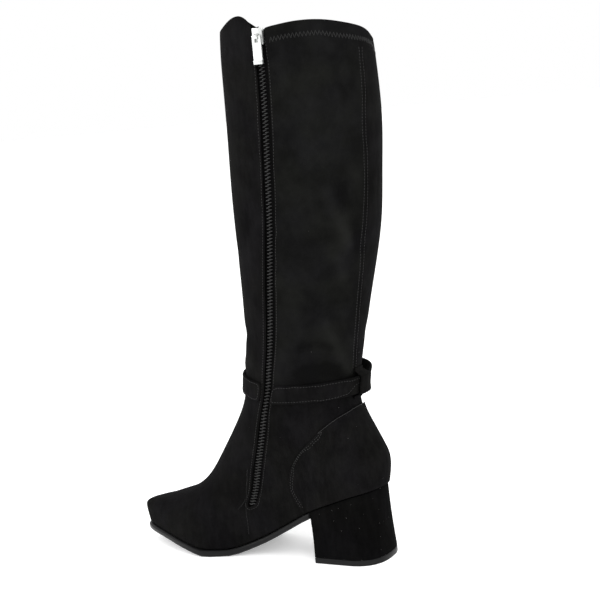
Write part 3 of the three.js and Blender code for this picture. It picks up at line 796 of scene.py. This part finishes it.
class BOOT_OT_upper(bpy.types.Operator):
    """The upper: foot and shaft in one soft wall, with its folds, closed seams and turned collar"""

    bl_idname = "boot.upper"
    bl_label = "Upper"

    # Painted light and shade on the folds: how much lighter the nap is painted for each metre that a fold
    # stands out, and darker for each metre that it sinks in
    FOLD_PAINTED_LIGHT = 320

    # Half widths of a groove or folded edge and of the soft ridge beside a groove, with the ridge's place
    GROOVE_WIDTH = 1.3 * MILLIMETRE
    RIDGE_WIDTH = 0.002
    RIDGE_FROM_SEAM = 0.0035
    RIDGE_SHARE = 0.35

    # The shaft's slow waves: their height, and the heights between which they start and end
    WAVE_HEIGHT = 0.00032
    WAVES_START = (0.06, 0.16)
    WAVES_END = (0.43, 0.455)

    # The stretch panel's soft edges: in degrees at the zip and at the back seam, and in height at its foot
    PANEL_ZIP_EDGE = 1.5
    PANEL_SEAM_EDGE = 1
    PANEL_FOOT = (0.158, 0.164)

    VAMP_SEAM = [(0.084, 0.035, 0.083), (0.090, 0.031, 0.064), (0.096, 0.027, 0.042), (0.097, 0.026, 0.017)]
    VAMP_SEAM_STEP = 0.003

    def execute(self, context):
        sizes = context.scene.boot_sizes
        piece = copy_of("upper", "suede_upper")
        subdivide(piece, 2)
        surface = Surface(piece)
        mesh = piece.data
        points = points_of(mesh)
        out = normals_of(mesh) * facing(mesh)[:, None]
        rise = np.zeros(len(points))
        for fold in FOLDS:
            _, distance = nearest_on_line(points, line_on(surface, fold["line"]))
            rise += fold["out"] * hump(distance, fold["width"])
        # Painted light and shade: folds that stand out are painted lighter, folds that sink in are painted
        # darker
        lighter_tone = rise * self.FOLD_PAINTED_LIGHT
        seams = [line_on(surface, BACK_SEAM), self.side_seam(surface)]
        for seam in seams:
            _, distance = nearest_on_line(points, seam)
            rise -= sizes.seam_groove * hump(distance, self.GROOVE_WIDTH)
            ridge = hump(distance, self.RIDGE_WIDTH, self.RIDGE_FROM_SEAM)
            rise += self.RIDGE_SHARE * sizes.seam_groove * ridge
        _, from_zip = nearest_on_line(points, zip_middle())
        rise += sizes.fold_height * hump(from_zip, self.GROOVE_WIDTH, sizes.fold_inset)
        rise += self.soft_unevenness(points)
        set_points(mesh, points + out * rise[:, None])
        set_attribute(mesh, "panel", self.stretch_panel(points, seams[0]))
        # Nap patches, plus the painted light and shade on the folds
        set_attribute(mesh, "tone_and_painted_light", self.tone_and_painted_light(points) + lighter_tone)
        smooth_faces(piece)
        finish_piece(piece, upper_suede(context.scene.boot_colours), "boot", "suede", "upper")
        return {"FINISHED"}

    @classmethod
    def side_seam(cls, surface):
        """The closed seam beside the zip's foot, down to the sole."""
        line = resample(cls.VAMP_SEAM, cls.VAMP_SEAM_STEP)
        return np.array([tuple(surface.nearest(place)[0]) for place in line])

    @classmethod
    def soft_unevenness(cls, points):
        """Slow, shallow waves, because a soft shaft is never a true cone."""
        turn = np.radians(turn_of(points))
        height = points[:, 2]
        waves = np.sin(3 * turn + height * 21) * np.cos(height * 34 + 1.3)
        waves += 0.6 * np.sin(5 * turn - height * 47 + 0.7)
        starts = smooth_step(height, *cls.WAVES_START)
        ends = 1 - smooth_step(height, *cls.WAVES_END)
        return cls.WAVE_HEIGHT * waves * starts * ends

    @classmethod
    def stretch_panel(cls, points, back_seam):
        """1 on the stretch panel, which runs from the zip back to the back seam, above the strap."""
        turn = turn_of(points)
        middle = zip_middle()
        zip_turn = np.interp(points[:, 2], middle[:, 2], turn_of(middle))
        seam_turn = np.interp(points[:, 2], back_seam[::-1, 2], turn_of(back_seam)[::-1])
        behind_zip = smooth_step(turn, zip_turn, zip_turn + cls.PANEL_ZIP_EDGE)
        before_seam = 1 - smooth_step(turn, seam_turn - cls.PANEL_SEAM_EDGE, seam_turn)
        return behind_zip * before_seam * smooth_step(points[:, 2], *cls.PANEL_FOOT)

    @staticmethod
    def tone_and_painted_light(points):
        """How much lighter (plus) and darker (minus) the nap is in patches, as a share between the dark and
        light colour. The darker patch beside the back seam is painted shade of its fold.
        """
        turn = turn_of(points)
        height = points[:, 2]
        patches = [
            {"turn": 128, "height": 0.395, "wide": 13, "tall": 0.030, "share": 0.30},
            {"turn": 136, "height": 0.355, "wide": 12, "tall": 0.026, "share": 0.22},
            {"turn": 150, "height": 0.292, "wide": 7, "tall": 0.024, "share": 0.34},
            {"turn": 140, "height": 0.196, "wide": 22, "tall": 0.010, "share": 0.26},
            {"turn": 70, "height": 0.440, "wide": 16, "tall": 0.030, "share": 0.24},
            # Painted shade of the fold beside the back seam
            {"turn": 172, "height": 0.320, "wide": 7, "tall": 0.016, "share": -0.30},
            {"turn": 176, "height": 0.296, "wide": 6, "tall": 0.012, "share": 0.24},
        ]
        total = np.zeros(len(points))
        for patch in patches:
            across = (turn - patch["turn"]) / patch["wide"]
            up = (height - patch["height"]) / patch["tall"]
            total += patch["share"] * np.exp(-(across**2) - up**2)
        return total


class BOOT_OT_overlays(bpy.types.Operator):
    """The counter round the heel, the ankle strap and its keeper, each a soft layer with rounded edges"""

    bl_idname = "boot.overlays"
    bl_label = "Counter, strap and keeper"

    def execute(self, context):
        material = plain_suede(context.scene.boot_colours)
        for node, name in (
            ("counter", "heel_counter"),
            ("ankle_strap", "suede_strap"),
            ("strap_keeper", "suede_keeper"),
        ):
            piece = copy_of(node, name)
            crease(piece, degrees=50, weight=0.8)
            subdivide(piece, 2)
            smooth_faces(piece)
            finish_piece(piece, material, "boot", "suede", node)
        return {"FINISHED"}


class BOOT_OT_bottom(bpy.types.Operator):
    """The polished sole and heel tip, the covered heel block and the insole"""

    bl_idname = "boot.bottom"
    bl_label = "Sole, heel and insole"

    def execute(self, context):
        colours = context.scene.boot_colours
        lining = material_named("lining", lambda name: lining_leather(name, tuple(colours.lining)))
        for node, name, material, slot, edge in (
            ("outsole", "polished_sole", sole_material(colours), "sole_edge", 0.0004),
            ("heel_tip", "polished_tip", sole_material(colours), "sole_edge", 0.0007),
            ("heel_block", "suede_heel", heel_suede(colours), "suede", 0.0010),
            ("insole", "leather_insole", lining, "insole", 0.0005),
        ):
            piece = copy_of(node, name)
            round_edges(piece, edge)
            smooth_faces(piece, degrees=35)
            finish_piece(piece, material, "boot", slot, node)
        return {"FINISHED"}


class BOOT_OT_zip(bpy.types.Operator):
    """The zip: its two rows of coil teeth on a woven tape, and the metal slider and pull tab"""

    bl_idname = "boot.zip"
    bl_label = "Zip"

    METAL_EDGE = 0.0003

    # A tooth: half its size along the zip, as a share of the pitch, how deep its middle lies, which is also
    # half its thickness, how far it reaches past the zip's middle, and its slant in radians
    TOOTH_HALF_SHARE = 0.16
    TOOTH_SINK = 0.0008
    TOOTH_PAST_MIDDLE = 0.0010
    TOOTH_SLANT = 0.22

    def execute(self, context):
        sizes = context.scene.boot_sizes
        colours = context.scene.boot_colours
        tape = frame["nodes"]["zip_tape"]
        # The tape's near-black colour also stands in for the shade in the slot beside the coil, as painted
        # shade
        tape.data.materials.clear()
        tape.data.materials.append(material_named("tape", lambda name: woven(name, tuple(colours.tape))))
        self.coil(sizes, colours)
        packed_metal = bpy.data.materials["zip_metal"]
        for node, name, body in (
            ("zip_slider", "metal_slider", "boot"),
            ("zip_pull_tab", "metal_tab", "pull_tab"),
        ):
            piece = copy_of(node, name)
            round_edges(piece, self.METAL_EDGE)
            smooth_faces(piece, degrees=40)
            finish_piece(piece, packed_metal, body, "zip_metal", node)
        return {"FINISHED"}

    @classmethod
    def coil(cls, sizes, colours):
        """Two rows of teeth that reach in from each side and lie between each other."""
        bpy.ops.object.select_all(action="DESELECT")
        bpy.ops.mesh.primitive_uv_sphere_add(segments=8, ring_count=5, radius=1)
        tooth = bpy.context.active_object
        model = tooth.data
        bpy.data.objects.remove(tooth)
        surface = Surface(frame["nodes"]["zip_chain"], LOOKS_WELL_OUT)
        half_size = (sizes.tooth_reach / 2, sizes.tooth_pitch * cls.TOOTH_HALF_SHARE, cls.TOOTH_SINK)
        size = Matrix.Diagonal((*half_size, 1))
        line = resample(soften(zip_middle(), 1), sizes.tooth_pitch / 2)
        places = []
        for index, (before, after) in enumerate(zip(line[:-1], line[1:])):
            place, normal = surface.nearest((before + after) / 2)
            along = Vector(after - before).normalized()
            across = along.cross(normal).normalized() * (1 if index % 2 else -1)
            outwards = sizes.tooth_reach / 2 - cls.TOOTH_PAST_MIDDLE
            centre = place + across * outwards - normal * cls.TOOTH_SINK
            slant = Matrix.Rotation(cls.TOOTH_SLANT if index % 2 else -cls.TOOTH_SLANT, 4, "Z")
            turn = turn_to(across, along, normal) @ slant
            places.append(Matrix.Translation(centre) @ turn @ size)
        piece = copies_joined("zip_coil", model, places)
        smooth_faces(piece)
        material = material_named("coil", lambda name: nylon(name, tuple(colours.coil), 0.4))
        finish_piece(piece, material, "boot", "zip_coil", "zip_chain")


class BOOT_OT_stitching(bpy.types.Operator):
    """Every visible row of stitches: beside the zip, on the seams, the overlays and the collar's elastic"""

    bl_idname = "boot.stitching"
    bl_label = "Stitching"

    SCUFF = [(0.093, 0.030, 0.054), (0.098, 0.030, 0.048), (0.103, 0.030, 0.044)]

    # In a closed seam and in the scuff the stitches touch and lie sunk
    CLOSE_PITCH = 0.8
    SEAM_LIFT = -0.00005
    SCUFF_LIFT = -0.00012

    BORDER_STEP = 0.001
    FROM_BACK_SEAM = 0.0022
    BACK_SEAM_STEP = 0.002

    # A point of the upper's edge is the slot's where it lies this near the zip, and this far under the top
    SLOT_REACH = 0.009
    SLOT_LEAST_POINTS = 20
    SLOT_UNDER_TOP = 0.018

    # How high over a piece's tucked edge its stitches start, and how far along x that edge is looked for
    TUCKED = 0.006
    TUCK_REACH = 0.008

    ELASTIC_TURNS = (99, 200)
    ELASTIC_THREAD = 0.8

    def execute(self, context):
        sizes = context.scene.boot_sizes
        model = stitch_model(sizes)
        material = thread_material(context.scene.boot_colours)
        objects = bpy.data.objects
        upper = Surface(objects["suede_upper"])
        rows = {
            "zip_stitches": self.zip_rows(sizes, upper),
            "seam_stitches": self.back_seam_rows(sizes, upper),
            "collar_zigzag": self.zigzag(sizes, upper),
        }
        for node, name, insets in (
            ("counter", "heel_counter", (sizes.seam_inset, 2 * sizes.seam_inset)),
            ("ankle_strap", "suede_strap", (sizes.seam_inset,)),
        ):
            surface = Surface(objects[name])
            border = outside_border(node)[0]
            rows[name + "_stitches"] = self.round_border(sizes, border, surface, insets)
        rows["heel_counter_stitches"] = self.above_foot(rows["heel_counter_stitches"], "counter")
        close = sizes.stitch_length * self.CLOSE_PITCH
        seam = BOOT_OT_upper.side_seam(upper)
        rows["vamp_seam"] = stitch_places(seam, upper, close, self.SEAM_LIFT)
        rows["scuff_mark"] = stitch_places(self.SCUFF, upper, close, self.SCUFF_LIFT)
        for name, places in rows.items():
            piece = copies_joined(name, model, places)
            smooth_faces(piece)
            finish_piece(piece, material, "boot", "suede")
        return {"FINISHED"}

    @classmethod
    def above_foot(cls, places, node):
        """The places that lie clear of a node's lowest edge, which is tucked under the boot."""
        points = points_of(frame["nodes"][node].data)
        clear = []
        for place in places:
            near = np.abs(points[:, 0] - place.translation.x) < cls.TUCK_REACH
            if place.translation.z > points[near, 2].min() + cls.TUCKED:
                clear.append(place)
        return clear

    @classmethod
    def round_border(cls, sizes, border, surface, insets):
        """Rows of stitches all the way round a piece, each its own way inside the edge."""
        line = resample(np.vstack([border, border[:1]]), cls.BORDER_STEP)
        line = soften(line, 4, closed=True)
        places = []
        for inset in insets:
            sides = [inset_line(line, surface, side * inset, closed=True) for side in (1, -1)]
            within = max(sides, key=lambda path: np.linalg.norm(path - line, axis=1).sum())
            places.extend(stitch_places(soften(within, 10, closed=True), surface, sizes.stitch_pitch))
        return places

    @classmethod
    def zip_rows(cls, sizes, surface):
        """Two rows that follow the slot's edge and meet under its foot."""
        loop = next(
            border
            for border in outside_border("upper")
            if near_zip(border, cls.SLOT_REACH).sum() > cls.SLOT_LEAST_POINTS
        )
        under_top = loop[:, 2] < CAD_BOX[1].z - cls.SLOT_UNDER_TOP
        beside = near_zip(loop, cls.SLOT_REACH) & under_top
        start = int(np.flatnonzero(~beside & np.roll(beside, -1))[0]) + 1
        loop = np.roll(loop, -start, axis=0)
        beside = np.roll(beside, -start)
        edge = loop[: int(np.argmin(beside)) if not beside.all() else len(loop)]
        line = resample(edge, cls.BORDER_STEP)
        sides = [inset_line(line, surface, side * sizes.zip_seam_inset) for side in (1, -1)]
        middle = zip_middle()
        far = max(sides, key=lambda path: nearest_on_line(path, middle)[1].mean())
        return stitch_places(soften(far), surface, sizes.stitch_pitch)

    @classmethod
    def back_seam_rows(cls, sizes, surface):
        """One row each side of the closed seam up the back."""
        seam = resample(line_on(surface, BACK_SEAM), cls.BACK_SEAM_STEP)
        places = []
        for side in (1, -1):
            row = inset_line(seam, surface, side * cls.FROM_BACK_SEAM)
            places.extend(stitch_places(row, surface, sizes.stitch_pitch))
        return places

    @classmethod
    def zigzag(cls, sizes, surface):
        """The elastic's zigzag under the collar, from the zip back to the back seam."""
        first, last = cls.ELASTIC_TURNS
        turns = np.linspace(first, last, last - first + 1)
        heights = collar_heights(turns) - sizes.elastic_drop
        rim = soften([tuple(surface.around(turn, height)) for turn, height in zip(turns, heights)], 2)
        steps = resample(rim, sizes.elastic_step)
        half = Vector((0, 0, sizes.elastic_height / 2))
        corners = [Vector(point) + half * (1 if index % 2 else -1) for index, point in enumerate(steps)]
        places = []
        for start, end in zip(corners[:-1], corners[1:]):
            place, normal = surface.nearest((start + end) / 2)
            along = flat_on(end - start, normal)
            turn = turn_to(along, normal.cross(along), normal)
            long = (end - start).length / sizes.stitch_length
            size = Matrix.Diagonal((long, cls.ELASTIC_THREAD, cls.ELASTIC_THREAD, 1))
            places.append(Matrix.Translation(place + normal * THREAD_LIFT) @ turn @ size)
        return places


# Where the collar's height is read, in degrees, how far to each side, and how far down its points lie
COLLAR_TURNS = np.arange(90, 225, 8)
COLLAR_TURN_REACH = 5
COLLAR_DEPTH = 0.045


def collar_heights(turns):
    """The collar's height at each turn behind the zip, read from the upper's CAD node."""
    points = points_of(frame["nodes"]["upper"].data)
    points = points[points[:, 2] > CAD_BOX[1].z - COLLAR_DEPTH]
    around = turn_of(points) % 360
    tops = [points[np.abs(around - turn) < COLLAR_TURN_REACH, 2].max() for turn in COLLAR_TURNS]
    return np.interp(turns, COLLAR_TURNS, tops)


class BOOT_OT_lint(bpy.types.Operator):
    """Specks of lint and dust that suede holds, most of them on the heel and the upper"""

    bl_idname = "boot.lint"
    bl_label = "Lint"

    COUNTS = (("suede_upper", 34), ("heel_counter", 12), ("suede_heel", 44))
    SEED = 7
    COLOUR = (0.16, 0.155, 0.15)

    # A speck's half length, its width as a share of that, and its half thickness
    HALF_LENGTH = (0.00015, 0.0004)
    WIDTH_SHARE = (0.25, 0.6)
    HALF_THICKNESS = 0.00008

    # Faces that look further up or down than this hold no speck
    STEEPEST = 0.7

    def execute(self, context):
        chance = random.Random(self.SEED)
        bpy.ops.object.select_all(action="DESELECT")
        bpy.ops.mesh.primitive_ico_sphere_add(subdivisions=1, radius=1)
        speck = bpy.context.active_object
        model = speck.data
        bpy.data.objects.remove(speck)
        places = []
        for name, count in self.COUNTS:
            mesh = bpy.data.objects[name].data
            centres, normals = faces_of(mesh)
            outside = look_out(centres, normals, LOOKS_OUT)
            outside &= np.abs(normals[:, 2]) < self.STEEPEST
            for index in chance.sample(np.flatnonzero(outside).tolist(), count):
                place, normal = mesh.polygons[index].center, mesh.polygons[index].normal
                along = normal.orthogonal().normalized()
                turn = turn_to(along, normal.cross(along), normal)
                turn = turn @ Matrix.Rotation(chance.uniform(0, 3), 4, "Z")
                long = chance.uniform(*self.HALF_LENGTH)
                wide = long * chance.uniform(*self.WIDTH_SHARE)
                size = Matrix.Diagonal((long, wide, self.HALF_THICKNESS, 1))
                places.append(Matrix.Translation(place) @ turn @ size)
        piece = copies_joined("lint_specks", model, places)
        smooth_faces(piece)
        material = material_named("lint", lambda name: nylon(name, self.COLOUR, 0.9))
        finish_piece(piece, material, "boot", "suede")
        return {"FINISHED"}


# The camera stands behind the boot on its inner side: its place round the boot, found against the photograph

AZIMUTH = 211.200
ELEVATION = 9.482
ROLL = 6.758
DISTANCE = 1.2723
AIM = (0.040, 0.0, 0.230)
METRES_PER_PIXEL = 0.000855
AIM_PIXEL = (291.230, 294.979)
PICTURE = 600
SENSOR = 36.0


class BOOT_OT_stage(bpy.types.Operator):
    """A pale floor, soft studio light and the camera at the photograph's angle"""

    bl_idname = "boot.stage"
    bl_label = "Stage"

    def execute(self, context):
        self.floor()
        self.light(context.scene)
        self.camera(context.scene)
        return {"FINISHED"}

    @staticmethod
    def floor():
        bpy.ops.object.select_all(action="DESELECT")
        bpy.ops.mesh.primitive_plane_add(size=14)
        plane = bpy.context.active_object
        plane.name = "pale_floor"
        nodes = Nodes("pale_floor")
        nodes.plain(Base_Color=(0.94, 0.94, 0.94, 1), Roughness=0.6, Specular_IOR_Level=0.2)
        nodes.plain(Emission_Color=(1, 1, 1, 1), Emission_Strength=0.35)
        plane.data.materials.append(nodes.material)

    @staticmethod
    def light(scene):
        world = bpy.data.worlds.new("studio")
        world.use_nodes = True
        background = world.node_tree.nodes["Background"]
        background.inputs["Color"].default_value = (1, 1, 1, 1)
        background.inputs["Strength"].default_value = 1.0
        scene.world = world
        scene.view_settings.view_transform = "Standard"
        for name, place, size, power in (
            ("key_light", (-1.1, 1.5, 1.5), 1.4, 26),
            ("left_light", (1.6, 1.0, 0.9), 1.2, 14),
            ("rim_light", (-1.4, -1.2, 1.4), 1.2, 12),
        ):
            lamp = bpy.data.lights.new(name, "AREA")
            lamp.size = size
            lamp.energy = power
            light = bpy.data.objects.new(name, lamp)
            light.location = place
            light.rotation_euler = (Vector(AIM) - Vector(place)).to_track_quat("-Z", "Y").to_euler()
            scene.collection.objects.link(light)

    @staticmethod
    def camera(scene):
        azimuth, elevation, roll = (math.radians(value) for value in (AZIMUTH, ELEVATION, ROLL))
        back = Vector(
            (
                math.sin(azimuth) * math.cos(elevation),
                -math.cos(azimuth) * math.cos(elevation),
                math.sin(elevation),
            )
        )
        right = Vector((math.cos(azimuth), math.sin(azimuth), 0))
        up = back.cross(right)
        rolled_right = right * math.cos(roll) - up * math.sin(roll)
        rolled_up = up * math.cos(roll) + right * math.sin(roll)
        data = bpy.data.cameras.new("camera")
        data.sensor_width = SENSOR
        data.lens = SENSOR * DISTANCE / METRES_PER_PIXEL / PICTURE
        data.shift_x = (PICTURE / 2 - AIM_PIXEL[0]) / PICTURE
        data.shift_y = (AIM_PIXEL[1] - PICTURE / 2) / PICTURE
        data.clip_end = 50
        camera = bpy.data.objects.new("camera", data)
        turn = turn_to(rolled_right, rolled_up, back)
        camera.matrix_world = Matrix.Translation(Vector(AIM) + back * DISTANCE) @ turn
        scene.collection.objects.link(camera)
        scene.camera = camera


PIECES = (
    BOOT_OT_stage,
    BOOT_OT_upper,
    BOOT_OT_overlays,
    BOOT_OT_bottom,
    BOOT_OT_zip,
    BOOT_OT_stitching,
    BOOT_OT_lint,
)


class BOOT_PT_pieces(bpy.types.Panel):
    """The boot's pieces, sizes and colours"""

    bl_idname = "BOOT_PT_pieces"
    bl_label = "Boot"
    bl_space_type = "VIEW_3D"
    bl_region_type = "UI"
    bl_category = "Boot"

    def draw(self, context):
        for operator in PIECES:
            self.layout.operator(operator.bl_idname)
        for group in (context.scene.boot_sizes, context.scene.boot_colours):
            box = self.layout.box()
            for name in group.__annotations__:
                box.prop(group, name)


CLASSES = (BootSizes, BootColours, *PIECES, BOOT_PT_pieces)


def register():
    for entry in CLASSES:
        bpy.utils.register_class(entry)
    bpy.types.Scene.boot_sizes = PointerProperty(type=BootSizes)
    bpy.types.Scene.boot_colours = PointerProperty(type=BootColours)


def unregister():
    del bpy.types.Scene.boot_colours
    del bpy.types.Scene.boot_sizes
    for entry in reversed(CLASSES):
        bpy.utils.unregister_class(entry)


def main():
    register()
    for operator in PIECES:
        group, name = operator.bl_idname.split(".")
        getattr(getattr(bpy.ops, group), name)()
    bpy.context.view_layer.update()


if __name__ == "__main__":
    main()
